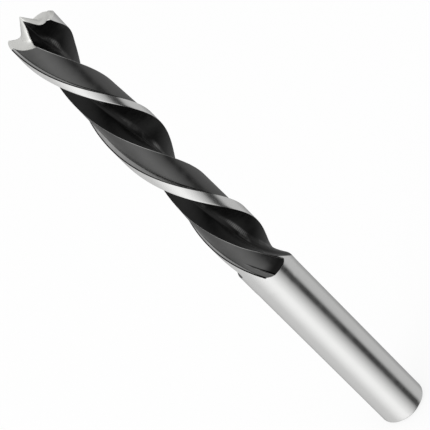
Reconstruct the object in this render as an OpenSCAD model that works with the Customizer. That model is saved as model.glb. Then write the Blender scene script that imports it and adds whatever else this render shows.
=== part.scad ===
// Brad point drill bit: one piece of steel with a plain round shank, two helical flutes,
// ground margins, set-back lands and a ground brad point. Millimetres.
// The shank stands on z = 0 with its axis on Z and the point is at the top (+Z).

/* [Overall] */

// Length from the shank end to the tip of the centre point
overall_len = 120; // [80:1:180]

// Diameter over the two ground margins
body_d = 10; // [6:0.1:16]

// Diameter of the plain shank
shank_d = 9.9; // [5.5:0.1:16]

// Height at which the flutes have run out into the shank
flute_end_z = 45.3; // [30:0.2:80]

// Bevel at the end of the shank
end_bevel = 0.6; // [0.2:0.1:1.5]

/* [Helix] */

// Axial length of one full turn of a flute
lead = 57.8; // [35:0.2:90]

// Height at which the edge of the first margin faces the front (-Y)
edge_z = 99.5; // [60:0.1:130]

// Turning sense of the flutes: -1 as pictured, 1 for the opposite hand
hand = -1; // [-1:2:1]

/* [Section] */

// Arc of the first ground margin
margin_arc_a = 17.2; // [8:0.2:30]

// Arc of the second ground margin
margin_arc_b = 25.4; // [8:0.2:30]

// Arc of the flute beside the first margin
flute_arc_a = 91; // [70:0.5:110]

// Arc of the flute beside the second margin
flute_arc_b = 97; // [70:0.5:110]

// Turn of the second flute away from exactly opposite the first
flute_b_lag = 5.6; // [0:0.1:12]

// Set-back of the first land behind its margin
land_step_a = 0.52; // [0.1:0.02:1]

// Set-back of the second land behind its margin
land_step_b = 0.88; // [0.1:0.02:1.2]

// Further fall of the first land towards its heel
heel_fall_a = 0.52; // [0:0.02:1]

// Further fall of the second land towards its heel
heel_fall_b = 0.18; // [0:0.02:1]

// Arc taken by the ground step between a land and its margin
step_arc = 2.4; // [1:0.1:5]

// Half thickness of the web along the body
web_r = 1.1; // [0.6:0.05:2]

// Half thickness of the thinned web at the point
web_tip_r = 0.5; // [0.3:0.05:1.2]

// Length over which the web is thinned below the point
thin_len = 6; // [2:0.5:15]

// Squareness that the thinning gives the heel wall of a flute at the point, 1 for none
heel_square = 2.8; // [1:0.1:4]

/* [Brad point] */

// Height of the centre point above the floor of the ground valleys
point_h = 3.5; // [1.5:0.1:6]

// Radius of the lowest line of the ground valleys
valley_r = 2.85; // [1.5:0.1:4.2]

// Height of the outer spurs above the valleys
spur_h = 0.74; // [0.2:0.02:2]

// Radius of the crest of the outer spurs
spur_r = 4.7; // [3.5:0.02:5]

// Fall of the small bevel outside the crest of the spurs
spur_bevel = 0.25; // [0.1:0.05:1]

// Fall of the first tooth's ground face from its lip back to the heel
lip_fall_a = 1.6; // [0.2:0.05:2.4]

// Fall of the second tooth's ground face from its lip back to the heel
lip_fall_b = 1.3; // [0.2:0.05:2.4]

// Further fall of the second tooth's outer corner behind its lip
corner_fall_b = 1.4; // [0:0.1:2]

// Arc by which the margin edges run ahead of the helix at the point
spur_arc = 11; // [0:0.5:20]

// Length over which the margin edges run ahead
spur_len = 8; // [2:0.5:15]

/* [Run-out] */

// Length over which a flute floor rises to the shank
flute_runout = 11.5; // [5:0.5:20]

// Length over which the outer half of a land rises to the shank
land_runout = 6.9; // [2:0.2:12]

// Length over which the heel half of a land rises to the shank
heel_runout = 2.6; // [1:0.2:6]

// Height of the end of the lands above the end of the flutes
land_end_gap = 2.2; // [0:0.1:4]

// Rise of the rounded corner at the end of a land
land_corner = 1.5; // [0:0.1:3]

/* [Hidden] */

body_r = body_d / 2;
shank_r = shank_d / 2;
steel = [0.72, 0.73, 0.74];
turn = 360;
half_turn = 180;
// Ring spacing along the body and count of finer rings at the point and in the run-out.
ring_step = 1.05;
runout_rings = 17;
tip_rings = 4;
tip_zone = 2.4;
// Corners of the ground cap, from the boundary to the axis, as shares of the local radius.
cap_shares = [0.93, 0.86, 0.76, 0.66, 0.56, 0.46, 0.36, 0.26, 0.15];
// Short collar that brings the body down to the shank diameter.
collar_len = 1.4;
collar_gap = 0.03;
plug_len = 1.2;
circle_facets = 96;
// Flute profile from the margin edge (0) to the heel (1): share of the arc, share of the wall.
flute_share = [0, 0.004, 0.008, 0.02, 0.045, 0.09, 0.17, 0.31, 0.48, 0.64, 0.75, 0.815, 0.875, 0.94];
flute_wall = [1, 0.92, 0.82, 0.63, 0.44, 0.27, 0.13, 0.045, 0.005, 0, 0.035, 0.17, 0.37, 0.66];
flute_n = len(flute_share);
// Deepest share of the arc: walls before it belong to the margin, walls after it to the heel.
floor_share = 0.64;
margin_n = 4;
land_n = 8;
land_crease = 6;
crease_arc = 1.6;
// Shares of a land's arc over which the two corners of its end are rounded.
round_share = 0.28;
heel_round = 0.5;
half_n = margin_n + flute_n + land_n + 1;
ring_n = 2 * half_n;
cone_end = 0.76;
cone_gain = 1.21;
web_part = 0.55;
fall_power = [0.6, 1.5];
corner_falls = [0, corner_fall_b];
corner_share = 0.33;
lip_limit = 0.3;
heel_limit = 0.9;
flute_rise = 1.75;
root_steps = 18;
body_end_z = flute_end_z - collar_len;
lip_falls = [lip_fall_a, lip_fall_b];
cap_base_z = overall_len - point_h - max(lip_falls) - tip_zone;
valley_z = overall_len - point_h;

// Limits of half h of the section, as helical angles: margin start, flute edge, heel, next margin.
second_edge = half_turn + flute_b_lag;
limits = [
  [-margin_arc_a, 0, flute_arc_a, second_edge - margin_arc_b],
  [second_edge - margin_arc_b, second_edge, second_edge + flute_arc_b, turn - margin_arc_a]
];
foot_r = [body_r - land_step_b, body_r - land_step_a];
heel_r = [body_r - land_step_b - heel_fall_b, body_r - land_step_a - heel_fall_a];

function clamp(x, lo, hi) = min(max(x, lo), hi);
function mix(a, b, k) = a + (b - a) * k;
function smooth(x) = x * x * (3 - 2 * x);

// Height of a run-out: nothing above its start, then a rising curve down to its end.
function near_end(z, end_z, run) = clamp((end_z + run - z) / run, 0, 1);
function rise(z, end_z, run) = pow(near_end(z, end_z, run), 2);
function flute_lift(z) = (body_r - web_r) * pow(near_end(z, flute_end_z, flute_runout), flute_rise);
function corner_round(k) =
  let (at_foot = clamp((k - 1 + round_share) / round_share, 0, 1))
  let (at_heel = clamp(1 - k / round_share, 0, 1))
  land_corner * (at_foot * at_foot + heel_round * at_heel * at_heel);
function land_end_at(k) = flute_end_z + land_end_gap + corner_round(k);

// Nearness to the point: 0 below a zone of length len under the valleys, 1 at the valleys.
function near_tip(z, len) = smooth(clamp((z - valley_z + len) / len, 0, 1));

// Web half thickness at height z, and the helical angle of the margin edge of half h there.
function web_at(z) = mix(web_r, web_tip_r, near_tip(z, thin_len));
function edge_at(h, z) = limits[h][1] + spur_arc * near_tip(z, spur_len);
function flute_arc_at(h, z) = limits[h][2] - edge_at(h, z);

// Radius of land h at a share k of its arc, 0 at the heel and 1 at the foot of the step.
function land_at(h, k, z, outer) =
  let (r = mix(heel_r[h], foot_r[h], k))
  let (up = rise(z, land_end_at(k), outer ? land_runout : heel_runout))
  mix(r, body_r, up);

// Wall share of the flute at arc share k, and its place on the arc with the squared heel wall.
function wall_at(k) = k >= 1 ? 1 : lookup(k, [for (i = [0 : flute_n - 1]) [flute_share[i], flute_wall[i]]]);
function wall_share(k) = k > flute_share[flute_n - 1]
  ? mix(flute_wall[flute_n - 1], 1, (k - flute_share[flute_n - 1]) / (1 - flute_share[flute_n - 1]))
  : wall_at(k);

function arc_place(k, z) =
  let (beyond = (1 - k) / (1 - floor_share))
  beyond >= 1 ? k : 1 - (1 - floor_share) * pow(beyond, mix(1, heel_square, near_tip(z, thin_len)));

// Flute radius of half h at arc share k before it is cut off by the outside of the body.
function flute_at(h, k, z) =
  let (web = web_at(z))
  let (side = k < floor_share ? body_r : heel_r[h])
  mix(web, side, wall_share(k)) + flute_lift(z);

// Arc share at which the lifted flute meets radius lim, between a (outside) and b (inside).
function meet(h, z, lim, a, b, n) =
  n == 0 ? (a + b) / 2
  : let (m = (a + b) / 2)
    flute_at(h, m, z) >= lim ? meet(h, z, lim, m, b, n - 1) : meet(h, z, lim, a, m, n - 1);
function lip_share(h, z) =
  flute_lift(z) == 0 ? 0 : min(lip_limit, meet(h, z, body_r, 0, floor_share, root_steps));
function heel_share(h, z) =
  flute_lift(z) == 0 ? 1 : max(heel_limit, meet(h, z, land_at(h, 0, z, false), 1, floor_share, root_steps));

// Helical angle and radius of corner j of half h at height z.
function margin_corner(h, j, z) =
  let (stop = edge_at(h, z) + lip_share(h, z) * flute_arc_at(h, z))
  [mix(limits[h][0], stop, j / margin_n), body_r];
function flute_corner(h, j, z) =
  let (a = lip_share(h, z))
  let (b = heel_share(h, z))
  let (k = mix(a, b, flute_share[j]))
  let (top = j == 0 ? body_r : flute_at(h, k, z))
  [edge_at(h, z) + arc_place(k, z) * flute_arc_at(h, z), min(top, body_r)];
function land_corner(h, j, z) =
  let (start = edge_at(h, z) + heel_share(h, z) * flute_arc_at(h, z))
  let (stop = limits[h][3] - step_arc)
  let (outer = j >= land_crease)
  let (k = j == land_crease ? (j - 1) / land_n + crease_arc / (stop - start) : j / land_n)
  [mix(start, stop, k), min(land_at(h, k, z, outer), body_r)];
function corner(i, z) =
  let (h = i < half_n ? 0 : 1)
  let (j = i - h * half_n)
  j < margin_n ? margin_corner(h, j, z)
  : j < margin_n + flute_n ? flute_corner(h, j - margin_n, z)
  : land_corner(h, j - margin_n - flute_n, z);

// Place of a corner: the whole section turns with the height.
function facing(z, t) = turn * (edge_z - z) / lead - t;
function place(t, r, z) =
  let (a = facing(z, t))
  [-hand * r * sin(a), -r * cos(a), z];

// Ground point: height below the tip at radius r, then the fall from lip to heel.
function ground(r) =
  r <= valley_r ? -point_h * ground_cone(r / valley_r)
  : r <= spur_r ? -point_h + spur_h * pow((r - valley_r) / (spur_r - valley_r), 2)
  : -point_h + spur_h - spur_bevel * (r - spur_r) / (body_r - spur_r);
function ground_cone(k) = k < cone_end
  ? cone_gain * k
  : mix(cone_gain * cone_end, 1, 1 - pow((1 - k) / (1 - cone_end), 2));

// Fall of tooth h at radius r and share k of the way from its lip (0) to its heel (1).
function web_fall(r) = web_part * clamp(r / web_r, 0, 1) + (1 - web_part) * pow(r / body_r, 2);
function corner_fall(r, k) =
  clamp(k / corner_share, 0, 1) * clamp((r - foot_r[0]) / (body_r - foot_r[0]), 0, 1);
function fall(h, r, k) =
  lip_falls[h] * pow(k, fall_power[h]) * web_fall(r) + corner_falls[h] * corner_fall(r, k);

// Arc of tooth h from its lip back to its heel, and its fall at corner i and helical angle t.
function lip_at(h) = limits[h][1] + spur_arc;
function back_arc(h) = lip_at(h) + (h == 0 ? turn : 0) - limits[1 - h][2];
function fall_at(i, t, r) =
  let (h = i < half_n ? 0 : 1)
  let (j = i - h * half_n)
  let (over = clamp((t - lip_at(h)) / (limits[h][2] - lip_at(h)), 0, 1))
  let (before = clamp(1 - (t - limits[h][2]) / back_arc(1 - h), 0, 1))
  j < margin_n ? fall(h, r, clamp((lip_at(h) - t) / back_arc(h), 0, 1))
  : j < margin_n + flute_n ? smooth(over) * fall(1 - h, r, 1)
  : fall(1 - h, r, before);
function top_z(i, t, r) = overall_len + ground(r) - fall_at(i, t, r);

// Corner i of the top edge: its height is found in a few rounds because the web varies with it.
function top_try(i, z, n) =
  let (c = corner(i, z))
  let (next = top_z(i, c[0], c[1]))
  n == 0 ? next : top_try(i, next, n - 1);
top_heights = [for (i = [0 : ring_n - 1]) top_try(i, valley_z, 6)];

runout_top = flute_end_z + flute_runout;
plain_len = cap_base_z - runout_top;
plain_n = ceil(plain_len / ring_step);
levels = [
  for (k = [1 : runout_rings - 1]) flute_end_z + flute_runout * k / runout_rings,
  for (k = [0 : plain_n]) runout_top + plain_len * k / plain_n
];

// Rings from the bottom: collar, end of the flutes, body, ground top edge, then the cap.
function round_ring(r, z) = [
  for (i = [0 : ring_n - 1])
    let (p = place(corner(i, flute_end_z)[0], r, flute_end_z))
    [p[0], p[1], z]
];
function body_ring(z) = [for (i = [0 : ring_n - 1]) let (c = corner(i, z)) place(c[0], c[1], z)];
function tip_ring(k) = [
  for (i = [0 : ring_n - 1])
    let (z = mix(cap_base_z, top_heights[i], k / tip_rings))
    let (c = corner(i, z))
    place(c[0], c[1], z)
];
function cap_ring(s) = [
  for (i = [0 : ring_n - 1])
    let (c = corner(i, top_heights[i]))
    let (r = c[1] * s)
    let (p = place(c[0], r, top_heights[i]))
    [p[0], p[1], top_z(i, c[0], r)]
];
rings = concat(
  [round_ring(shank_r + collar_gap, body_end_z)],
  [round_ring(body_r, flute_end_z)],
  [for (z = levels) body_ring(z)],
  [for (k = [1 : tip_rings]) tip_ring(k)],
  [for (s = cap_shares) cap_ring(s)]
);
ring_count = len(rings);
body_points = concat(
  [for (ring = rings) for (p = ring) p],
  [[0, 0, body_end_z]],
  [[0, 0, overall_len]]
);
bottom_i = ring_count * ring_n;
top_i = bottom_i + 1;
function side(a, b, c) = hand > 0 ? [a, b, c] : [c, b, a];
body_faces = concat(
  [
    for (k = [0 : ring_count - 2])
      for (i = [0 : ring_n - 1])
        let (a = k * ring_n + i)
        let (b = k * ring_n + (i + 1) % ring_n)
        let (c = a + ring_n)
        let (d = b + ring_n)
        each [side(a, c, d), side(a, d, b)]
  ],
  [for (i = [0 : ring_n - 1]) side(bottom_i, i, (i + 1) % ring_n)],
  [
    for (i = [0 : ring_n - 1])
      let (k = (ring_count - 1) * ring_n)
      side(top_i, k + (i + 1) % ring_n, k + i)
  ]
);

// Twisted body with margins, lands, flutes, their run-outs and the ground brad point.
module fluted_body() {
  polyhedron(points = body_points, faces = body_faces, convexity = 10);
}

// Plain round shank with its end bevel; it reaches a little way into the body.
module shank() {
  rotate_extrude($fn = circle_facets)
    polygon([
      [0, 0],
      [shank_r - end_bevel, 0],
      [shank_r, end_bevel],
      [shank_r, body_end_z + plug_len],
      [0, body_end_z + plug_len]
    ]);
}

module drill_bit() {
  color(steel)
    union() {
      shank();
      fluted_body();
    }
}

drill_bit();
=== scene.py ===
"""Looks of a brad point drill bit: ground steel, dark flutes and lands, on a pale studio floor."""

from __future__ import annotations

import logging
import math
from dataclasses import dataclass, field
from enum import IntEnum
from typing import Union

import bpy
import numpy as np
from mathutils import Matrix, Vector

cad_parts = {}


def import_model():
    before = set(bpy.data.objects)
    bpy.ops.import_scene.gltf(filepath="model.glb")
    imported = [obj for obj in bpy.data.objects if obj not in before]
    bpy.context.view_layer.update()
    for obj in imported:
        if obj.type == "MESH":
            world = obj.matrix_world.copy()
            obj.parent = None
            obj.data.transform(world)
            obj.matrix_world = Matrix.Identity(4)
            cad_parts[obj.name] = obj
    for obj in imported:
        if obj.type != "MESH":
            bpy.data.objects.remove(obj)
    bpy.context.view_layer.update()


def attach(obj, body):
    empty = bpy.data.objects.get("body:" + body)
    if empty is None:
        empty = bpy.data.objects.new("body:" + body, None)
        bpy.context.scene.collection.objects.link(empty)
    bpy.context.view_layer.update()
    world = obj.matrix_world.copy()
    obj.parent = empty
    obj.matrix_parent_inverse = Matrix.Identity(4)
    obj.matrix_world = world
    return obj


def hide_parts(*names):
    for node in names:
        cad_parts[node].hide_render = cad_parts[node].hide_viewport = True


LOG = logging.getLogger("drill_bit")
MM = 0.001
TURN = 360.0
# Depths below this, in millimetres, count as none.
HAIR = 1e-6
# Bare ground steel, which coated surfaces show where they reach the outside of the bit.
BARE_GREY = 0.92
BARE_SPREAD = 0.06
BARE_ROUGH = (0.17, 0.24)
# Depths in millimetres over which a coating sets in, and over which a step wall's painted shade,
# black along its outer edge, gives way to its own grey.
COAT_DEPTH = (0.004, 0.016)
WALL_DEPTH = (0.12, 0.3)
# Share of the step wall's grey that its painted shade leaves.
WALL_SHADE = 0.02
# Span of the fine marks' noise that the roughness follows.
MARK_SPAN = (0.3, 0.7)

Pair = tuple[float, float]
Triple = tuple[float, float, float]
Band = tuple[float, float, float, float]
Socket = bpy.types.NodeSocket
Value = Union[Socket, float]


class Surface(IntEnum):
    """Material slots of the bit, in the order in which its mesh carries them."""

    SHANK = 0
    MARGIN = 1
    LAND = 2
    FLUTE = 3
    STEP = 4
    EDGE = 5
    POINT = 6
    FOOT = 7


class Zone(IntEnum):
    """Lengths of the bit, from its lower end to its tip."""

    SHANK = 0
    BODY = 1
    POINT = 2


def smooth(x: np.ndarray | float) -> np.ndarray | float:
    """Ease with level ends.

    Args:
        x: Shares from 0 to 1.

    Returns:
        The eased shares, from 0 to 1.
    """
    return x * x * (3.0 - 2.0 * x)


def share(x: np.ndarray | float, low: float, high: float) -> np.ndarray:
    """Measure how far x lies from low to high.

    Args:
        x: Values to measure.
        low: Value that counts as 0.
        high: Value that counts as 1.

    Returns:
        The shares, held within 0 and 1.
    """
    return np.clip((np.asarray(x, float) - low) / (high - low), 0.0, 1.0)


def pick(pair: Pair, half: np.ndarray) -> np.ndarray:
    """Read a pair of values by half of the section.

    Args:
        pair: Values of the first and the second half.
        half: Each corner's half, 0 or 1.

    Returns:
        Each corner's value.
    """
    return np.array(pair)[half]


def ring(angle: np.ndarray, radius: np.ndarray | float, height: np.ndarray | float) -> np.ndarray:
    """Turn angles, radii and heights into places.

    Args:
        angle: Angles from the front, in radians.
        radius: Distances from the axis.
        height: Heights.

    Returns:
        Places, with X, Y and Z along the last axis.
    """
    x = radius * np.sin(angle)
    return np.stack([x, -radius * np.cos(angle), np.broadcast_to(height, x.shape)], axis=-1)


def flowing(x: np.ndarray, knots: np.ndarray, values: np.ndarray) -> np.ndarray:
    """Read a curve that passes smoothly through knots without overshoot.

    Args:
        x: Places to read.
        knots: Rising places of the known values.
        values: The known values.

    Returns:
        The curve's value at each x.
    """
    step = np.diff(knots)
    rate = np.diff(values) / step
    slope = np.zeros(len(knots))
    same = rate[:-1] * rate[1:] > 0
    mean = 2.0 * rate[:-1] * rate[1:] / np.where(same, rate[:-1] + rate[1:], 1.0)
    slope[1:-1] = np.where(same, mean, 0.0)
    slope[0], slope[-1] = rate[0], rate[-1]
    i = np.clip(np.searchsorted(knots, x) - 1, 0, len(step) - 1)
    k = (x - knots[i]) / step[i]
    return (
        (1 + 2 * k) * (1 - k) ** 2 * values[i]
        + k * (1 - k) ** 2 * step[i] * slope[i]
        + k * k * (3 - 2 * k) * values[i + 1]
        + k * k * (k - 1) * step[i] * slope[i + 1]
    )


@dataclass
class BitShape:
    """Sizes of the bit in millimetres and degrees.

    Pairs hold the values of the first and the second half of the section, or of the two teeth.
    """

    overall_len: float = 120.0
    body_r: float = 5.0
    shank_r: float = 4.95
    collar_len: float = 1.4
    # Rings of the shank's lower end: how far inside the shank's surface and how high each lies.
    end_rings: tuple[Pair, ...] = ((0.72, 0.0), (0.6, 0.03), (0.08, 0.5), (0.02, 0.6), (0.0, 0.72))
    shank_z: float = 1.6

    # Helix and section. edge_z is a height at which the first margin's lip faces the front.
    lead: float = 57.8
    edge_z: float = 99.5
    margin_arc: Pair = (17.2, 25.4)
    flute_arc: Pair = (91.0, 97.0)
    flute_b_lag: float = 5.6
    land_step: Pair = (0.88, 0.52)
    heel_fall: Pair = (0.18, 0.52)
    step_arc: float = 2.4
    foot_arc: float = 1.2
    edge_arc: float = 1.1
    web_r: float = 1.1
    floor_share: float = 0.64
    flute_knots: tuple[float, ...] = (
        0, 0.004, 0.008, 0.02, 0.045, 0.09, 0.17, 0.31, 0.48, 0.64, 0.75, 0.815, 0.875, 0.94, 1,
    )
    flute_walls: tuple[float, ...] = (
        1, 0.92, 0.82, 0.63, 0.44, 0.27, 0.13, 0.045, 0.005, 0, 0.035, 0.17, 0.37, 0.66, 1,
    )

    # Web thinning and hooked heel walls under the point.
    web_tip_r: float = 0.5
    thin_len: float = 6.0
    heel_square: float = 2.8
    hook: float = 46.0
    hook_reach: float = 75.0

    # Ground point: centre cone up to a share of the valley's radius, valleys and spurs.
    point_h: float = 3.5
    valley_r: float = 2.85
    cone_end: float = 0.76
    cone_slope: float = 1.21
    spur_h: float = 0.74
    spur_r: float = 4.7
    spur_bevel: float = 0.25
    spur_arc: Pair = (6.0, 20.0)
    spur_len: float = 10.0

    # Fall of each tooth behind its lip, and of its outer corner.
    lip_fall: Pair = (1.8, 1.0)
    fall_power: Pair = (1.05, 1.5)
    lip_lift: Pair = (0.0, 0.42)
    web_fall: float = 0.55
    corner_fall: Pair = (0.0, 0.9)
    corner_start: float = 0.45
    corner_reach: float = 0.33

    # Lower ends of the flutes and the lands.
    low_z: float = 44.2
    flute_end_z: Pair = (49.0, 44.5)
    flute_runout: float = 12.0
    flute_rise: float = 1.7
    heel_limit: float = 0.97
    lip_limit: float = 0.45
    land_end_z: float = 47.15
    land_runout: float = 6.9
    heel_runout: float = 2.6
    land_corner: float = 0.7
    foot_round: float = 0.78
    heel_round: float = 0.25
    heel_corner: float = 0.6
    crease: float = 0.79

    # How far the upper end leans toward +X, and the height at which it starts.
    lean: float = 0.33
    lean_z: float = 100.0

    def __post_init__(self) -> None:
        """Work out the helical limits of both halves and the land radii."""
        second = TURN / 2 + self.flute_b_lag
        start_b = second - self.margin_arc[1]
        self.start = np.array([-self.margin_arc[0], start_b])
        self.edge = np.array([0.0, second])
        self.heel = self.edge + np.array(self.flute_arc)
        self.next = np.array([start_b, TURN - self.margin_arc[0]])
        self.foot_r = self.body_r - np.array(self.land_step)
        self.heel_r = self.foot_r - np.array(self.heel_fall)

    def near_tip(self, z: np.ndarray, length: float) -> np.ndarray:
        """Ease from 0 to 1 along a zone that ends at the valleys of the point.

        Args:
            z: Heights.
            length: Length of the zone.

        Returns:
            0 below the zone and 1 above it.
        """
        low = self.overall_len - self.point_h - length
        return smooth(share(z, low, low + length))

    def rise(self, z: np.ndarray, end_z: np.ndarray, run: float, power: float = 2.0) -> np.ndarray:
        """Measure how far a surface has risen to the outside.

        Args:
            z: Heights.
            end_z: Heights at which the surface reaches the outside.
            run: Length of the run-out above that height.
            power: Higher values put the rise nearer the end.

        Returns:
            0 above the run-out and 1 at its end.
        """
        return np.clip((end_z + run - z) / run, 0.0, 1.0) ** power

    def wall(self, k: np.ndarray) -> np.ndarray:
        """Read the form of the flutes' walls.

        Args:
            k: Arc shares from the lip to the heel.

        Returns:
            Shares of the way from the web to the outside.
        """
        return flowing(k, np.array(self.flute_knots), np.array(self.flute_walls))

    def hooked(self, wall: np.ndarray) -> np.ndarray:
        """Work out how far the hook under the point shifts a heel wall.

        Args:
            wall: Shares of the way from the web to the outside.

        Returns:
            Shifts in degrees, none at the web and at the outside.
        """
        return self.hook * (1 - wall) * (1 - (1 - wall) ** 3)

    def flute_radius(self, half: np.ndarray, k: np.ndarray, z: np.ndarray) -> np.ndarray:
        """Work out a flute's radius before it meets the outside.

        Args:
            half: Halves of the section.
            k: Arc shares from the lip to the heel.
            z: Heights.

        Returns:
            Radii, past the outside where the flute has run out.
        """
        web = self.web_r + (self.web_tip_r - self.web_r) * self.near_tip(z, self.thin_len)
        side = np.where(k < self.floor_share, self.body_r, self.heel_r[half])
        up = self.rise(z, pick(self.flute_end_z, half), self.flute_runout, self.flute_rise)
        return web + (side - web) * self.wall(k) + (self.body_r - self.web_r) * up

    def land_radius(
        self, half: np.ndarray, k: np.ndarray, z: np.ndarray, outer: np.ndarray | bool
    ) -> np.ndarray:
        """Work out a land's radius with its run-out.

        Args:
            half: Halves of the section.
            k: Arc shares from the heel to the foot of the step.
            z: Heights.
            outer: Whether the corner lies on the outer grinding pass, with the longer run-out.

        Returns:
            Radii.
        """
        base = self.heel_r[half] + (self.foot_r - self.heel_r)[half] * k
        at_foot = share(k, self.foot_round, 1.0) ** 2
        at_heel = self.heel_corner * (1 - share(k, 0.0, self.heel_round)) ** 2
        end_z = self.land_end_z + self.land_corner * (at_foot + at_heel)
        slow, quick = (self.rise(z, end_z, run) for run in (self.land_runout, self.heel_runout))
        return base + (self.body_r - base) * np.where(outer, slow, quick)

    def ground(self, r: np.ndarray) -> np.ndarray:
        """Work out the form of the ground point.

        Args:
            r: Radii.

        Returns:
            Heights from the tip, 0 or lower.
        """
        k = r / self.valley_r
        low = self.cone_slope * self.cone_end
        bowl = low + (1 - low) * (1 - ((1 - k) / (1 - self.cone_end)) ** 2)
        cone = np.where(k < self.cone_end, self.cone_slope * k, bowl)
        rising = -self.point_h + self.spur_h * share(r, self.valley_r, self.spur_r) ** 2
        bevel = self.spur_bevel * share(r, self.spur_r, self.body_r)
        return np.where(r < self.valley_r, -self.point_h * cone, rising - bevel)

    def fall(self, tooth: np.ndarray, r: np.ndarray, k: np.ndarray) -> np.ndarray:
        """Work out how far a tooth's ground face has fallen behind its lip.

        Args:
            tooth: Which tooth, 0 or 1.
            r: Radii.
            k: Shares of the way from the lip to the heel behind it.

        Returns:
            Falls, below 0 where a lip is lifted.
        """
        depth = pick(self.lip_fall, tooth) * k ** pick(self.fall_power, tooth)
        depth = depth - pick(self.lip_lift, tooth) * (1 - k) ** 2
        inner = self.web_fall * np.clip(r / self.web_r, 0.0, 1.0)
        part = inner + (1 - self.web_fall) * (r / self.body_r) ** 2
        corner = self.corner_start + (1 - self.corner_start) * share(k, 0.0, self.corner_reach)
        corner = corner * share(r, self.foot_r[0], self.body_r)
        return depth * part + pick(self.corner_fall, tooth) * corner

    def facing(self, z: np.ndarray, t: np.ndarray) -> np.ndarray:
        """Turn helical angles into angles from the front.

        Args:
            z: Heights.
            t: Helical angles in degrees.

        Returns:
            Angles in radians.
        """
        return np.radians(TURN * (self.edge_z - z) / self.lead - t)


@dataclass
class Rings:
    """Corners of the fluted body, one row per ring and one column per corner.

    Attributes:
        z: Heights.
        t: Helical angles in degrees.
        r: Radii.
        depth: How far each corner lies inside the outside of the bit.
        arc: Arc share of a corner on its flute or land.
    """

    z: np.ndarray
    t: np.ndarray
    r: np.ndarray
    depth: np.ndarray
    arc: np.ndarray


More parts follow.
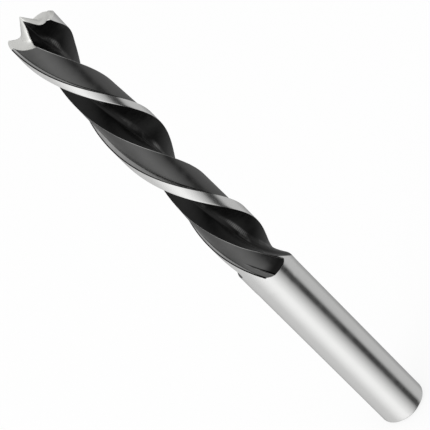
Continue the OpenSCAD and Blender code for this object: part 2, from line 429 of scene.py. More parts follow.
@dataclass
class SectionGrid:
    """Corners of one turn of the section: which half and surface each belongs to."""

    shape: BitShape
    margin_n: int = 12
    flute_n: int = 58
    land_n: int = 34
    # Part of a flute's corners that is spaced evenly, and how the rest crowds at the walls.
    even_part: float = 0.35
    wall_power: float = 1.15
    # Room that a land's corners leave at its crease, and the pair that takes it.
    crease_room: float = 0.012
    crease_pair: Pair = (-0.002, 0.02)
    # Heights and arc shares at which the limits of the run-outs are searched.
    limit_n: int = 400
    limit_arc_n: int = 3001
    limit_room: float = 0.5

    def __post_init__(self) -> None:
        """Lay out the corners of both halves and the run-out limits of the flutes."""
        kinds: list[tuple[int, Surface, float]] = []
        for half in (0, 1):
            kinds += [(half, Surface.MARGIN, j / self.margin_n) for j in range(self.margin_n)]
            kinds += [(half, Surface.FLUTE, k) for k in self.flute_shares()]
            kinds += [(half, Surface.EDGE, 0.0)]
            kinds += [(half, Surface.LAND, k) for k in self.land_shares()]
            kinds += [(half, Surface.FOOT, 0.0), (half, Surface.STEP, 0.0)]
        self.half = np.array([k[0] for k in kinds])
        self.kind = np.array([int(k[1]) for k in kinds])
        self.share = np.array([k[2] for k in kinds])
        self.count = len(kinds)
        self.limit_z, self.lip, self.heel = self.flute_limits()

    def flute_shares(self) -> np.ndarray:
        """Space the corners of a flute, closer together at both walls.

        Returns:
            Arc shares from the lip to the heel.
        """
        k = np.arange(self.flute_n) / self.flute_n
        crowded = (0.5 - 0.5 * np.cos(math.pi * k)) ** self.wall_power
        return self.even_part * k + (1 - self.even_part) * crowded

    def land_shares(self) -> np.ndarray:
        """Space the corners of a land, with a close pair at its crease.

        Returns:
            Arc shares from the heel to the foot of the step.
        """
        k = np.linspace(0.0, 1.0, self.land_n)[:-1]
        crease = self.shape.crease
        clear = k[np.abs(k - crease) > self.crease_room]
        return np.sort(np.concatenate([clear, crease + np.array(self.crease_pair)]))

    def flute_limits(self) -> tuple[np.ndarray, np.ndarray, np.ndarray]:
        """Find where the rising flutes meet the outside and the heel.

        Returns:
            Heights, and for each half the first and the last arc share of the flute there.
        """
        s = self.shape
        top = max(s.flute_end_z) + s.flute_runout + self.limit_room
        heights = np.linspace(s.low_z - self.limit_room, top, self.limit_n)
        k = np.linspace(0.0, 1.0, self.limit_arc_n)
        lips, heels = [], []
        for half in (0, 1):
            lip, heel = [], []
            for z in heights:
                r = s.flute_radius(np.full(k.shape, half), k, np.full(k.shape, z))
                edge = s.land_radius(np.array([half]), np.zeros(1), np.array([z]), False)[0]
                inside = k[(k < s.floor_share) & (r < s.body_r - HAIR)]
                under = k[(k > s.floor_share) & (r < edge - HAIR)]
                lip.append(min(s.lip_limit, inside[0] if len(inside) else 1.0))
                heel.append(max(s.heel_limit, under[-1] if len(under) else 0.0))
            lips.append(np.array(lip))
            heels.append(np.array(heel))
        return heights, np.array(lips), np.array(heels)

    def read_limit(self, limits: np.ndarray, half: np.ndarray, z: np.ndarray) -> np.ndarray:
        """Read a limit of the flutes at any height.

        Args:
            limits: Limits of both halves at the searched heights.
            half: Halves of the section.
            z: Heights.

        Returns:
            The arc share of each limit.
        """
        first, second = (np.interp(z, self.limit_z, row) for row in limits)
        return np.where(half == 0, first, second)

    def place(self, z: np.ndarray) -> Rings:
        """Place all corners at the given heights.

        Args:
            z: Heights, one row per ring and one column per corner.

        Returns:
            The rings.
        """
        s = self.shape
        half = np.broadcast_to(self.half, z.shape)
        kind = np.broadcast_to(self.kind, z.shape)
        k = np.broadcast_to(self.share, z.shape)
        lip, heel = (self.read_limit(limits, half, z) for limits in (self.lip, self.heel))
        edge = s.edge[half] + pick(s.spur_arc, half) * s.near_tip(z, s.spur_len)
        arc = s.heel[half] - edge
        lip_t, heel_t = edge + lip * arc, edge + heel * arc
        margin_t = s.start[half] + (lip_t - s.start[half]) * k

        flute_k = lip + (heel - lip) * k
        thinned = s.near_tip(z, s.thin_len)
        beyond = np.clip((1 - flute_k) / (1 - s.floor_share), 0.0, 1.0)
        squared = 1 - (1 - s.floor_share) * beyond ** (1 + (s.heel_square - 1) * thinned)
        wall = np.where(flute_k > s.floor_share, s.wall(flute_k), 0.0)
        flute_t = edge + arc * np.where(beyond >= 1, flute_k, squared) + thinned * s.hooked(wall)
        flute_r = np.where((k == 0) & (lip == 0), s.body_r, s.flute_radius(half, flute_k, z))

        step_t = s.next[half] - s.step_arc
        foot_t = step_t - s.foot_arc
        land_t = heel_t + s.edge_arc + (foot_t - heel_t - s.edge_arc) * k
        land_r = s.land_radius(half, k, z, k > s.crease)
        step_r = s.land_radius(half, np.ones(z.shape), z, True)
        edge_r = s.land_radius(half, np.zeros(z.shape), z, False)
        outer_r = np.full(z.shape, s.body_r)

        order = (Surface.MARGIN, Surface.FLUTE, Surface.EDGE, Surface.LAND, Surface.FOOT)
        kinds = [kind == item for item in order]
        t = np.select(kinds, [margin_t, flute_t, heel_t, land_t, foot_t], step_t)
        r = np.select(kinds, [outer_r, flute_r, edge_r, land_r, step_r], step_r)
        depth = np.where(kind == Surface.MARGIN, 0.0, s.body_r - r)
        on_land = np.where(kind == Surface.LAND, k, 0.0)
        share_of_arc = np.where(kind == Surface.FLUTE, flute_k, on_land)
        return Rings(z, t, np.minimum(r, s.body_r), depth, share_of_arc)

    def twist(self, r: np.ndarray) -> np.ndarray:
        """Work out how far the ground faces turn with the hooked heel walls.

        Args:
            r: Radii.

        Returns:
            Turns in degrees.
        """
        s = self.shape
        return s.hooked(np.clip((r - s.web_tip_r) / (s.heel_r.min() - s.web_tip_r), 0.0, 1.0))

    def near_heel(self, t: np.ndarray) -> np.ndarray:
        """Measure how near each corner is to a heel.

        Args:
            t: Helical angles.

        Returns:
            1 at a heel, 0 out of the hook's reach.
        """
        s = self.shape
        gaps = [t - s.heel[0], t - s.heel[1], t - s.heel[1] + TURN]
        gap = np.min(np.abs(gaps), axis=0)
        return 1 - smooth(np.clip(gap / s.hook_reach, 0.0, 1.0))

    def top(self, t: np.ndarray, r: np.ndarray) -> np.ndarray:
        """Work out the height of the ground point over each corner.

        Args:
            t: Helical angles.
            r: Radii.

        Returns:
            Heights.
        """
        s, half = self.shape, self.half
        lips = s.edge + np.array(s.spur_arc)
        edge, heel = lips[half], s.heel[half]
        back = lips[1 - half] + np.where(half == 0, 0.0, TURN) - heel
        own_back = edge + np.where(half == 0, TURN, 0.0) - s.heel[1 - half]
        on_margin = self.kind == Surface.MARGIN
        in_flute = self.kind == Surface.FLUTE
        tooth = np.where(on_margin, half, 1 - half)
        behind = np.where(in_flute, 1.0, 1 - (t - heel) / back)
        k = np.clip(np.where(on_margin, (edge - t) / own_back, behind), 0.0, 1.0)
        w = np.where(in_flute, smooth(share((t - edge) / (heel - edge), 0.0, 1.0)), 1.0)
        fall = w * s.fall(tooth, r, k) + (1 - w) * s.fall(half, r, 0 * r)
        return s.overall_len + s.ground(r) - fall


@dataclass
class TwistBit:
    """The whole bit as one skin: shank, run-outs, fluted body and ground point."""

    shape: BitShape
    name: str = "drill_bit_steel"
    shank_rings: int = 12
    collar_rings: int = 7
    # Spacing of the rings on the body and along the run-outs, and the zone below the ground faces.
    ring_step: float = 0.34
    runout_step: float = 0.12
    tip_zone: float = 3.0
    tip_rings: int = 26
    # Rings over the ground faces: their number, spacing and how quickly the margins draw in.
    cap_rings: int = 24
    cap_power: float = 0.9
    draw_in: int = 6
    top_rounds: int = 12
    weld_gap: float = 1e-6
    smooth_angle: float = 28.0
    skin: bpy.types.Object | None = field(default=None, init=False)

    def __post_init__(self) -> None:
        """Lay out the section."""
        self.grid = SectionGrid(self.shape)

    def body(self) -> Rings:
        """Place the fluted body, from the collar up to the ground faces.

        Returns:
            The body's rings, the last one along the edge of the ground faces.
        """
        s, n = self.shape, self.grid.count
        base_z = s.overall_len - s.point_h - max(s.lip_fall) - self.tip_zone
        runout_top = max(s.flute_end_z) + s.flute_runout
        low = np.arange(s.low_z, runout_top, self.runout_step)
        high = np.linspace(runout_top, base_z, int((base_z - runout_top) / self.ring_step))
        body_z = np.concatenate([low, high])[:, None] * np.ones(n)

        top_z = np.full((1, n), s.overall_len - s.point_h)
        for _ in range(self.top_rounds):
            top = self.grid.place(top_z)
            top_z = 0.5 * top_z + 0.5 * self.grid.top(top.t, top.r)
        k = (np.arange(1, self.tip_rings + 1) / self.tip_rings)[:, None]
        return self.grid.place(np.concatenate([body_z, base_z + (top_z - base_z) * k]))

    def caps(self, body: Rings) -> np.ndarray:
        """Draw the body's last ring in over the ground faces to the tip.

        Args:
            body: Rings of the fluted body.

        Returns:
            Places of the corners, ring by ring.
        """
        s, grid = self.shape, self.grid
        top_t, top_r, top_z = body.t[-1], body.r[-1], body.z[-1]
        near_heel = grid.near_heel(top_t)
        start_t = top_t - grid.twist(top_r) * near_heel
        outer = np.isin(grid.kind, (Surface.MARGIN, Surface.STEP))
        inner_r = np.where(outer, s.foot_r.min(), top_r)
        rows = []
        for k in 1 - np.linspace(0, 1, self.cap_rings + 1)[1:] ** self.cap_power:
            r = k * (inner_r + (top_r - inner_r) * k**self.draw_in)
            t = start_t + grid.twist(r) * near_heel
            rows.append(ring(s.facing(top_z, t), r, grid.top(t, r)))
        return np.array(rows)

    def shank(self, first: np.ndarray) -> np.ndarray:
        """Place the shank's end, the shank and the collar.

        Args:
            first: Angles of the body's lowest ring, which the collar leads up to.

        Returns:
            Places of the corners, ring by ring.
        """
        s = self.shape
        even = first[0] - np.arange(len(first)) * math.tau / len(first)
        collar_z = s.low_z - s.collar_len
        lower = [(0.0, 0.0), (s.shank_r / 2, 0.0)]
        lower += [(s.shank_r - inset, z) for inset, z in s.end_rings]
        lower += [(s.shank_r, z) for z in np.linspace(s.shank_z, collar_z, self.shank_rings)]
        rows = [ring(even, r, z) for r, z in lower]
        for k in np.linspace(0, 1, self.collar_rings + 2)[1:-1]:
            angle = even + (first - even) * smooth(k)
            radius = s.shank_r + (s.body_r - s.shank_r) * smooth(k)
            rows.append(ring(angle, radius, collar_z + s.collar_len * k))
        return np.array(rows)

    def rings(self) -> tuple[np.ndarray, np.ndarray]:
        """Place every corner of the skin.

        Returns:
            Corner places in millimetres, ring by ring from the shank end to the tip,
            and each ring's zone.
        """
        s = self.shape
        body = self.body()
        angle = s.facing(body.z, body.t)
        parts = [self.shank(angle[0]), ring(angle, body.r, body.z), self.caps(body)]
        points = np.concatenate(parts)
        points[..., 0] += s.lean * share(points[..., 2], s.lean_z, s.overall_len) ** 2
        below, above = np.zeros(parts[0].shape[:2]), np.ones(parts[2].shape[:2])
        self.depth = np.concatenate([below, body.depth, above])
        self.arc = np.concatenate([below, body.arc, above])
        zones = [Zone.SHANK, Zone.BODY, Zone.POINT]
        return points, np.repeat(zones, [len(part) for part in parts])

    def surfaces(self, zone: np.ndarray) -> np.ndarray:
        """Choose the surface of each face.

        Args:
            zone: The zone of each ring.

        Returns:
            The surface between ring i and i + 1, corner j and j + 1.
        """
        faces = np.broadcast_to(self.grid.kind, self.depth.shape)[:-1].copy()
        d, beside = self.depth, np.roll(self.depth, -1, 1)
        outside = np.max([d[:-1], d[1:], beside[:-1], beside[1:]], axis=0) < HAIR
        faces[outside] = Surface.MARGIN
        faces[zone[:-1] == Zone.SHANK] = Surface.SHANK
        faces[zone[1:] == Zone.POINT] = Surface.POINT
        return faces

    def build(self) -> bpy.types.Object:
        """Wrap a sheet round the bit and close it at both ends.

        Returns:
            The skin as one closed mesh object.
        """
        points, zone = self.rings()
        rows, cols = points.shape[:2]
        bpy.ops.object.select_all(action="DESELECT")
        bpy.ops.mesh.primitive_grid_add(x_subdivisions=cols, y_subdivisions=rows - 1, size=2.0)
        skin = bpy.context.object
        skin.name = self.name
        mesh = skin.data
        mesh.name = self.name
        spans = np.array([cols, rows - 1])
        corner = np.rint(sheet_shares(mesh.vertices, "co") * spans).astype(int)
        face = np.clip((sheet_shares(mesh.polygons, "center") * spans).astype(int), 0, spans - 1)
        at = (corner[:, 1], corner[:, 0] % cols)
        mesh.vertices.foreach_set("co", (points[at] * MM).ravel())
        layers = {"depth": self.depth[at], "arc": self.arc[at], "along": points[at][:, 2]}
        for name, values in layers.items():
            layer = mesh.attributes.new(name, "FLOAT", "POINT")
            layer.data.foreach_set("value", values.astype(np.float32))
        mesh.update()
        for _ in Surface:
            mesh.materials.append(None)
        surface = self.surfaces(zone)[face[:, 1], face[:, 0]]
        mesh.polygons.foreach_set("material_index", surface.astype(np.int32))
        bpy.ops.object.mode_set(mode="EDIT")
        bpy.ops.mesh.select_all(action="SELECT")
        bpy.ops.mesh.remove_doubles(threshold=self.weld_gap)
        bpy.ops.mesh.normals_make_consistent(inside=False)
        bpy.ops.object.mode_set(mode="OBJECT")
        bpy.ops.object.shade_smooth_by_angle(angle=math.radians(self.smooth_angle))
        self.skin = skin
        LOG.info("%s: %d corners, %d faces", skin.name, len(mesh.vertices), len(mesh.polygons))
        return skin

    def dress(self, finishes: dict[Surface, Finish]) -> None:
        """Give each surface its finish and hang the skin on the frame.

        Args:
            finishes: The finish of each surface.
        """
        for item, finish in finishes.items():
            self.skin.data.materials[item] = finish.make()
        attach(self.skin, "root")
        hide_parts("drill_bit")


def sheet_shares(items: bpy.types.bpy_prop_collection, name: str) -> np.ndarray:
    """Read where the items of a flat square sheet from -1 to 1 lie on it.

    Args:
        items: The sheet's vertices or faces.
        name: The property that holds their place.

    Returns:
        Shares of the sheet's width and length, one row per item.
    """
    flat = np.empty(len(items) * 3)
    items.foreach_get(name, flat)
    return (flat.reshape(-1, 3)[:, :2] + 1) / 2


@dataclass
class NodeWeb:
    """Small helper that adds linked nodes to one material or surround."""

    tree: bpy.types.NodeTree

    def __post_init__(self) -> None:
        """Start from an empty tree."""
        self.tree.nodes.clear()

    def add(self, kind: str) -> bpy.types.Node:
        """Add a node.

        Args:
            kind: The node's type.

        Returns:
            The node.
        """
        return self.tree.nodes.new(kind)

    def feed(self, socket: Socket, value: Value | tuple[float, ...]) -> None:
        """Link a socket to another, or set its constant.

        Args:
            socket: The input to feed.
            value: The output to link, or the constant.
        """
        if isinstance(value, Socket):
            self.tree.links.new(value, socket)
        else:
            socket.default_value = value

    def math(self, operation: str, a: Value, b: Value = 0.0, c: Value = 0.0) -> Socket:
        """Add one sum.

        Args:
            operation: The kind of sum.
            a: First value.
            b: Second value.
            c: Third value.

        Returns:
            The result.
        """
        node = self.add("ShaderNodeMath")
        node.operation = operation
        for socket, value in zip(node.inputs, (a, b, c)):
            self.feed(socket, value)
        return node.outputs[0]

    def fit(self, value: Value, span: Pair, to: Pair, form: str = "SMOOTHSTEP") -> Socket:
        """Map a value from one span to another, held at its ends.

        Args:
            value: The value.
            span: Where it comes from.
            to: Where it goes.
            form: Whether the way between the ends is smooth or straight.

        Returns:
            The mapped value.
        """
        node = self.add("ShaderNodeMapRange")
        node.interpolation_type = form
        self.feed(node.inputs["Value"], value)
        for name, number in zip(("From Min", "From Max", "To Min", "To Max"), (*span, *to)):
            node.inputs[name].default_value = number
        return node.outputs[0]

    def band(self, value: Value, limits: Band) -> Socket:
        """Pick out a band of values with soft sides.

        Args:
            value: The value.
            limits: Where the band starts, is full, fades and ends.

        Returns:
            1 within the band and 0 outside it.
        """
        up = self.fit(value, limits[:2], (0.0, 1.0))
        down = self.fit(value, limits[2:], (1.0, 0.0))
        return self.math("MULTIPLY", up, down)

    def blend(self, part: Value, a: Value, b: Value) -> Socket:
        """Blend two numbers.

        Args:
            part: Share of b.
            a: First number.
            b: Second number.

        Returns:
            The blend.
        """
        node = self.add("ShaderNodeMix")
        for index, value in ((0, part), (2, a), (3, b)):
            self.feed(node.inputs[index], value)
        return node.outputs[0]

    def tint(self, part: Value, a: Value, b: Value) -> Socket:
        """Blend two colours.

        Args:
            part: Share of b.
            a: First colour, or a plain grey.
            b: Second colour, or a plain grey.

        Returns:
            The blend.
        """
        node = self.add("ShaderNodeMix")
        node.data_type = "RGBA"
        self.feed(node.inputs[0], part)
        for index, value in ((6, a), (7, b)):
            plain = not isinstance(value, Socket)
            self.feed(node.inputs[index], (value, value, value, 1) if plain else value)
        return node.outputs[2]

    def attribute(self, name: str) -> Socket:
        """Read a value that the mesh stores at its corners.

        Args:
            name: The value's name.

        Returns:
            The value.
        """
        node = self.add("ShaderNodeAttribute")
        node.attribute_name = name
        return node.outputs["Fac"]

    def noise(self, coords: Socket, scale: Triple, detail: float) -> Socket:
        """Add a noise pattern.

        Args:
            coords: Place in the piece's own space.
            scale: Counts per metre along each axis.
            detail: Octaves of the noise.

        Returns:
            The noise value, from 0 to 1.
        """
        mapping = self.add("ShaderNodeMapping")
        mapping.inputs["Scale"].default_value = scale
        noise = self.add("ShaderNodeTexNoise")
        noise.inputs["Scale"].default_value = 1.0
        noise.inputs["Detail"].default_value = detail
        self.feed(mapping.inputs["Vector"], coords)
        self.feed(noise.inputs["Vector"], mapping.outputs[0])
        return noise.outputs[0]


@dataclass(frozen=True)
class CreaseShadeAndHighlight:
    """Painted shade and a painted highlight along the crease between a land's two grinding pass
    surfaces at its lower end, and painted shade where the inner pass ends.

    Attributes:
        shade_arc: Arc shares of the painted shade line beside the crease.
        highlight_arc: Arc shares of the painted highlight line on the crease.
        gains: How strong the painted shade line and the painted highlight line are.
        fade_z: Heights in millimetres over which both lines fade.
        end_z: Heights over which painted shade darkens the end of the inner pass.
        end_arc: Arc shares over which that painted shade stops at the crease.
        end_shade: How dark that painted shade is.
    """

    shade_arc: Band = (0.70, 0.755, 0.775, 0.79)
    highlight_arc: Band = (0.785, 0.797, 0.805, 0.82)
    gains: Pair = (-0.9, 1.2)
    fade_z: Pair = (51.0, 53.5)
    end_z: Pair = (47.9, 49.9)
    end_arc: Pair = (0.76, 0.79)
    end_shade: float = 0.88

    def pattern(self, web: NodeWeb) -> Socket:
        """Paint shade beside the crease and at the end of the inner pass, and a highlight on the
        crease.

        Args:
            web: The material's nodes.

        Returns:
            Share of the colour that is left.
        """
        arc, along = web.attribute("arc"), web.attribute("along")
        near_end = web.fit(along, self.fade_z, (1.0, 0.0))
        # Painted shade line beside the crease, painted highlight line on it.
        dark, light = web.band(arc, self.shade_arc), web.band(arc, self.highlight_arc)
        dark = web.math("MULTIPLY", dark, self.gains[0])
        line = web.math("MULTIPLY_ADD", light, self.gains[1], dark)
        # Painted shade at the end of the inner pass.
        patch = web.fit(along, self.end_z, (self.end_shade, 0.0))
        patch = web.math("MULTIPLY", patch, web.fit(arc, self.end_arc, (1.0, 0.0)))
        return web.math("SUBTRACT", web.math("MULTIPLY_ADD", line, near_end, 1.0), patch)


@dataclass(frozen=True)
class RibHighlight:
    """Painted highlight along the wall of a flute, broken into rib marks after the real machining
    marks, and a painted mottled sheen.

    Attributes:
        arc: Arc shares where the streak starts, is full, fades and ends.
        pitch: Spacing of the rib marks in millimetres.
        slant: Turn of the rib marks' phase across the flute, in radians.
        mean: Mean strength of the rib marks.
        swing: Swing of the rib marks about the mean.
        patch_scale: Counts per metre of the patches that break the streak up.
        patch_span: Span of their noise.
        patch_low: Strength between the patches.
        mottle_scale: Counts per metre of the mottle.
        mottle_span: Span of its noise.
        mottle_gain: Strength of the mottle.
        mottle_arc: Arc shares that it covers.
    """

    arc: Band = (0.10, 0.16, 0.28, 0.38)
    pitch: float = 0.46
    slant: float = 9.0
    mean: float = 0.6
    swing: float = 0.22
    patch_scale: Triple = (230.0, 230.0, 150.0)
    patch_span: Pair = (0.48, 0.64)
    patch_low: float = 0.05
    mottle_scale: Triple = (300.0, 300.0, 220.0)
    mottle_span: Pair = (0.5, 0.72)
    mottle_gain: float = 0.5
    mottle_arc: Band = (0.1, 0.25, 0.5, 0.62)

    def pattern(self, web: NodeWeb, coords: Socket) -> Socket:
        """Work out the strength of the painted highlight streak and the painted mottled sheen.

        Args:
            web: The material's nodes.
            coords: Place in the piece's own space.

        Returns:
            The strength, 0 where the wall is plain.
        """
        arc, along = web.attribute("arc"), web.attribute("along")
        patches = web.noise(coords, self.patch_scale, 2.0)
        patches = web.fit(patches, self.patch_span, (self.patch_low, 1.0))
        phase = web.math("MULTIPLY", along, math.tau / self.pitch)
        phase = web.math("MULTIPLY_ADD", arc, self.slant, phase)
        wave = web.math("MULTIPLY_ADD", web.math("SINE", phase), self.swing, self.mean)
        # Painted highlight streak, broken into rib marks.
        streak = web.math("MULTIPLY", web.band(arc, self.arc), web.math("MULTIPLY", patches, wave))
        # Painted mottled sheen over part of the flute's wall.
        mottle = web.noise(coords, self.mottle_scale, 5.0)
        mottle = web.fit(mottle, self.mottle_span, (0.0, self.mottle_gain))
        return web.math("MULTIPLY_ADD", mottle, web.band(arc, self.mottle_arc), streak)


@dataclass(frozen=True)
class Finish:
    """A steel surface: its colour, blotches, fine marks and gloss, and on some surfaces painted
    shade and painted highlights.

    Attributes:
        name: Name of the material.
        colour: Linear grey of the clean surface.
        spread: Share by which blotches darken and lighten the colour.
        metallic: How metallic the surface is.
        rough: Lowest and highest roughness.
        grain: Counts of fine marks per metre along X, Y and Z.
        blotch: Count of blotches per metre.
        warmth: Share by which blue is lower than red.
        coated: Whether the finish stops where the surface reaches the outside of the bit.
        walls: Whether the surface is a step wall, with painted shade that makes it black along its
            outer edge.
        rib_highlight: Grey of the painted highlight streak with its rib marks, and of the painted
            mottled sheen, in the flutes, none where it is 0.
        crease_shading: Whether painted shade and a painted highlight show along the crease at the
            end of the surface, with painted shade where the inner grinding pass ends.
    """

    name: str
    colour: float
    spread: float = 0.1
    metallic: float = 1.0
    rough: Pair = (0.2, 0.3)
    grain: Triple = (900.0, 900.0, 900.0)
    blotch: float = 260.0
    warmth: float = 0.01
    coated: bool = False
    walls: bool = False
    rib_highlight: float = 0.0
    crease_shading: bool = False

    def make(self) -> bpy.types.Material:
        """Build the node material of this finish.

        Returns:
            The material.
        """
        material = bpy.data.materials.new(self.name)
        material.use_nodes = True
        web = NodeWeb(material.node_tree)
        coords = web.add("ShaderNodeTexCoord").outputs["Object"]
        blotches = web.noise(coords, (self.blotch,) * 3, 3.0)
        marks = web.noise(coords, self.grain, 4.0)
        both = web.math("ADD", blotches, marks)
        value = web.math("MULTIPLY_ADD", both, self.spread, 1.0 - self.spread)
        grey = web.math("MULTIPLY", value, self.colour)
        # Painted highlight streak with rib marks and painted mottled sheen along the flute's wall.
        if self.rib_highlight:
            streak = web.math("MULTIPLY", RibHighlight().pattern(web, coords), self.rib_highlight)
            grey = web.math("ADD", grey, streak)
        # Painted shade beside the land's crease and at the end of its inner grinding pass, with a
        # painted highlight on the crease.
        if self.crease_shading:
            grey = web.math("MULTIPLY", grey, CreaseShadeAndHighlight().pattern(web))
        # Painted shade: the step wall turns black along its outer edge, next to the margin.
        if self.walls:
            bright = web.fit(web.attribute("depth"), WALL_DEPTH, (WALL_SHADE, 1.0))
            grey = web.math("MULTIPLY", grey, bright)
        rough = web.fit(marks, MARK_SPAN, self.rough)
        metallic: Value = self.metallic
        if self.coated:
            cover = web.fit(web.attribute("depth"), COAT_DEPTH, (0.0, 1.0))
            bare = web.math("MULTIPLY_ADD", marks, BARE_SPREAD, BARE_GREY - BARE_SPREAD / 2)
            grey = web.blend(cover, bare, grey)
            rough = web.blend(cover, web.fit(marks, MARK_SPAN, BARE_ROUGH), rough)
            metallic = web.blend(cover, 1.0, self.metallic)
        tint = web.add("ShaderNodeCombineColor")
        blue = web.math("MULTIPLY", grey, 1.0 - self.warmth)
        for socket, level in zip(tint.inputs, (grey, grey, blue)):
            web.feed(socket, level)
        steel = web.add("ShaderNodeBsdfPrincipled")
        web.feed(steel.inputs["Base Color"], tint.outputs[0])
        web.feed(steel.inputs["Roughness"], rough)
        web.feed(steel.inputs["Metallic"], metallic)
        out = web.add("ShaderNodeOutputMaterial")
        web.feed(out.inputs["Surface"], steel.outputs[0])
        return material


FINISHES: dict[Surface, Finish] = {
    Surface.SHANK: Finish(
        "polished_shank", BARE_GREY, spread=0.03, rough=BARE_ROUGH, grain=(150, 150, 500)
    ),
    Surface.MARGIN: Finish(
        "ground_margin", BARE_GREY, spread=0.03, rough=BARE_ROUGH, grain=(600, 600, 900)
    ),
    # The land carries painted shade and a painted highlight along its crease, and painted shade
    # where its inner grinding pass ends.
    Surface.LAND: Finish(
        "dark_land", 0.12, spread=0.25, metallic=0.9, rough=(0.28, 0.38), grain=(700, 700, 700),
        coated=True, crease_shading=True,
    ),
    # The flute carries a painted highlight streak and a painted mottled sheen on its dark coating.
    Surface.FLUTE: Finish(
        "dark_flute", 0.018, spread=0.4, metallic=0.85, rough=(0.3, 0.4), grain=(500, 500, 1500),
        coated=True, rib_highlight=0.22,
    ),
    # The step wall carries painted shade along its outer edge.
    Surface.STEP: Finish(
        "step_wall", 0.4, spread=0.3, rough=(0.25, 0.35), grain=(700, 700, 700), walls=True
    ),
    # Painted highlight: a lighter strip along each heel edge.
    Surface.EDGE: Finish("heel_edge_highlight", 0.5, spread=0.4, rough=(0.3, 0.4), coated=True),
    Surface.POINT: Finish(
        "ground_point", 0.86, spread=0.05, rough=(0.42, 0.5), grain=(800, 800, 800), warmth=0.03
    ),
    # Painted shade: a near-black strip in the corner at the foot of each step.
    Surface.FOOT: Finish("painted_shade_step_foot", 0.008, spread=0.5, rough=(0.3, 0.4), coated=True),
}


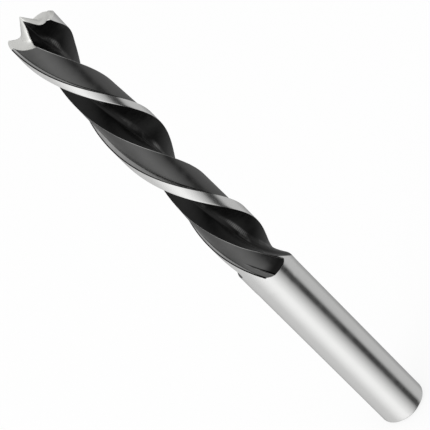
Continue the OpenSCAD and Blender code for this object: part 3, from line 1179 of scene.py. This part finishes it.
@dataclass
class Studio:
    """Pale floor, studio surround, lamp and camera, in metres and degrees."""

    # Camera.
    target_z: float = 0.0628
    distance: float = 0.463
    elevation: float = 32.3
    roll: float = 45.0
    focal_px: float = 2493.0
    frame_px: float = 430.0
    sensor: float = 36.0
    clip: Pair = (0.01, 10.0)

    # Floor, and how much of it the camera sees as plain white.
    floor_size: float = 4.0
    floor_tone: float = 0.93
    floor_rough: float = 0.9
    floor_gloss: float = 0.1
    floor_glow: float = 0.8

    # Lamp.
    lamp_place: Triple = (-0.5, -0.35, 0.7)
    lamp_aim: Triple = (0.0, 0.0, 0.06)
    lamp_power: float = 1.2
    lamp_size: float = 0.5

    # Surround: the tone that lights the scene, the sky that metal shows and how high it begins.
    fill_tone: float = 0.95
    sky_tone: float = 0.64
    sky_height: float = 0.35
    # Light cards and dark flags of the surround: tones against the angle from the front.
    tones: tuple[Pair, ...] = (
        (-180, 0.25), (-155, 0.45), (-132, 0.56), (-90, 0.61), (-54, 0.88), (-40, 0.95),
        (-26, 0.95), (0, 0.7), (26, 0.36), (38, 0.05), (56, 0.04), (67, 0.4), (76, 0.49),
        (115, 0.5), (135, 0.38), (180, 0.25),
    )

    def floor(self) -> bpy.types.Object:
        """Lay the pale floor that takes the bit's shadow.

        Returns:
            The floor.
        """
        bpy.ops.object.select_all(action="DESELECT")
        bpy.ops.mesh.primitive_plane_add(size=self.floor_size)
        floor = bpy.context.object
        floor.name = "floor"
        material = bpy.data.materials.new("pale_floor")
        material.use_nodes = True
        web = NodeWeb(material.node_tree)
        paint = web.add("ShaderNodeBsdfPrincipled")
        paint.inputs["Base Color"].default_value = (*(self.floor_tone,) * 3, 1)
        paint.inputs["Roughness"].default_value = self.floor_rough
        paint.inputs["Specular IOR Level"].default_value = self.floor_gloss
        glow = web.add("ShaderNodeEmission")
        glow.inputs["Color"].default_value = (1, 1, 1, 1)
        glow.inputs["Strength"].default_value = 1.0
        seen = web.add("ShaderNodeLightPath").outputs["Is Camera Ray"]
        mix = web.add("ShaderNodeMixShader")
        web.feed(mix.inputs[0], web.math("MULTIPLY", seen, self.floor_glow))
        web.feed(mix.inputs[1], paint.outputs[0])
        web.feed(mix.inputs[2], glow.outputs[0])
        out = web.add("ShaderNodeOutputMaterial")
        web.feed(out.inputs["Surface"], mix.outputs[0])
        floor.data.materials.append(material)
        floor.visible_glossy = False
        return floor

    def surround(self) -> None:
        """Make the white surround with its dark flags, which only the metal shows."""
        world = bpy.data.worlds.new("studio")
        bpy.context.scene.world = world
        world.use_nodes = True
        web = NodeWeb(world.node_tree)
        axes = web.add("ShaderNodeSeparateXYZ")
        web.feed(axes.inputs[0], web.add("ShaderNodeTexCoord").outputs["Generated"])
        to_front = web.math("MULTIPLY", axes.outputs["Y"], -1.0)
        angle = web.math("ARCTAN2", axes.outputs["X"], to_front)
        ramp = web.add("ShaderNodeValToRGB")
        web.feed(ramp.inputs[0], web.fit(angle, (-math.pi, math.pi), (0.0, 1.0), "LINEAR"))
        points = ramp.color_ramp.elements
        for i, (degrees, tone) in enumerate(self.tones):
            place = (degrees + TURN / 2) / TURN
            point = points[i] if i < len(points) else points.new(place)
            point.position = place
            point.color = (tone, tone, tone, 1)
        high = web.fit(axes.outputs["Z"], (0.0, self.sky_height), (0.0, 1.0), "LINEAR")
        sky = web.tint(high, ramp.outputs[0], self.sky_tone)
        rays = web.add("ShaderNodeLightPath").outputs
        lit = web.tint(rays["Is Glossy Ray"], self.fill_tone, sky)
        seen = web.math("MAXIMUM", rays["Is Camera Ray"], rays["Is Transmission Ray"])
        light = web.add("ShaderNodeBackground")
        light.inputs["Strength"].default_value = 1.0
        web.feed(light.inputs["Color"], web.tint(seen, lit, 1.0))
        out = web.add("ShaderNodeOutputWorld")
        web.feed(out.inputs["Surface"], light.outputs[0])

    def camera(self) -> bpy.types.Object:
        """Set the camera at the photograph's angle, turned so that the bit lies across the frame.

        Returns:
            The camera.
        """
        e, r = math.radians(self.elevation), math.radians(self.roll)
        toward = Vector((0, -math.cos(e), math.sin(e)))
        level = Vector((1, 0, 0))
        upright = toward.cross(level)
        right = level * math.cos(r) - upright * math.sin(r)
        up = upright * math.cos(r) + level * math.sin(r)
        data = bpy.data.cameras.new("camera")
        data.sensor_width = self.sensor
        data.lens = self.focal_px / self.frame_px * self.sensor
        data.clip_start, data.clip_end = self.clip
        camera = bpy.data.objects.new("camera", data)
        bpy.context.scene.collection.objects.link(camera)
        turn = Matrix((right, up, toward)).transposed().to_4x4()
        place = Vector((0, 0, self.target_z)) + toward * self.distance
        camera.matrix_world = Matrix.Translation(place) @ turn
        bpy.context.scene.camera = camera
        return camera

    def lamp(self) -> bpy.types.Object:
        """Hang one large soft lamp up on the left.

        Returns:
            The lamp.
        """
        data = bpy.data.lights.new("soft_lamp", "AREA")
        data.energy = self.lamp_power
        data.size = self.lamp_size
        lamp = bpy.data.objects.new("soft_lamp", data)
        bpy.context.scene.collection.objects.link(lamp)
        lamp.location = self.lamp_place
        away = Vector(self.lamp_place) - Vector(self.lamp_aim)
        lamp.rotation_euler = away.to_track_quat("Z", "Y").to_euler()
        return lamp

    def build(self) -> None:
        """Set up the floor, surround, lamp, camera and colour handling."""
        self.floor()
        self.surround()
        self.lamp()
        self.camera()
        bpy.context.scene.view_settings.view_transform = "Standard"


def main() -> None:
    """Build the studio and the bit."""
    logging.basicConfig(level=logging.INFO, format="%(name)s: %(message)s")
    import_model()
    Studio().build()
    bit = TwistBit(BitShape())
    bit.build()
    bit.dress(FINISHES)
    LOG.info("built %s", bit.name)


if __name__ == "__main__":
    main()
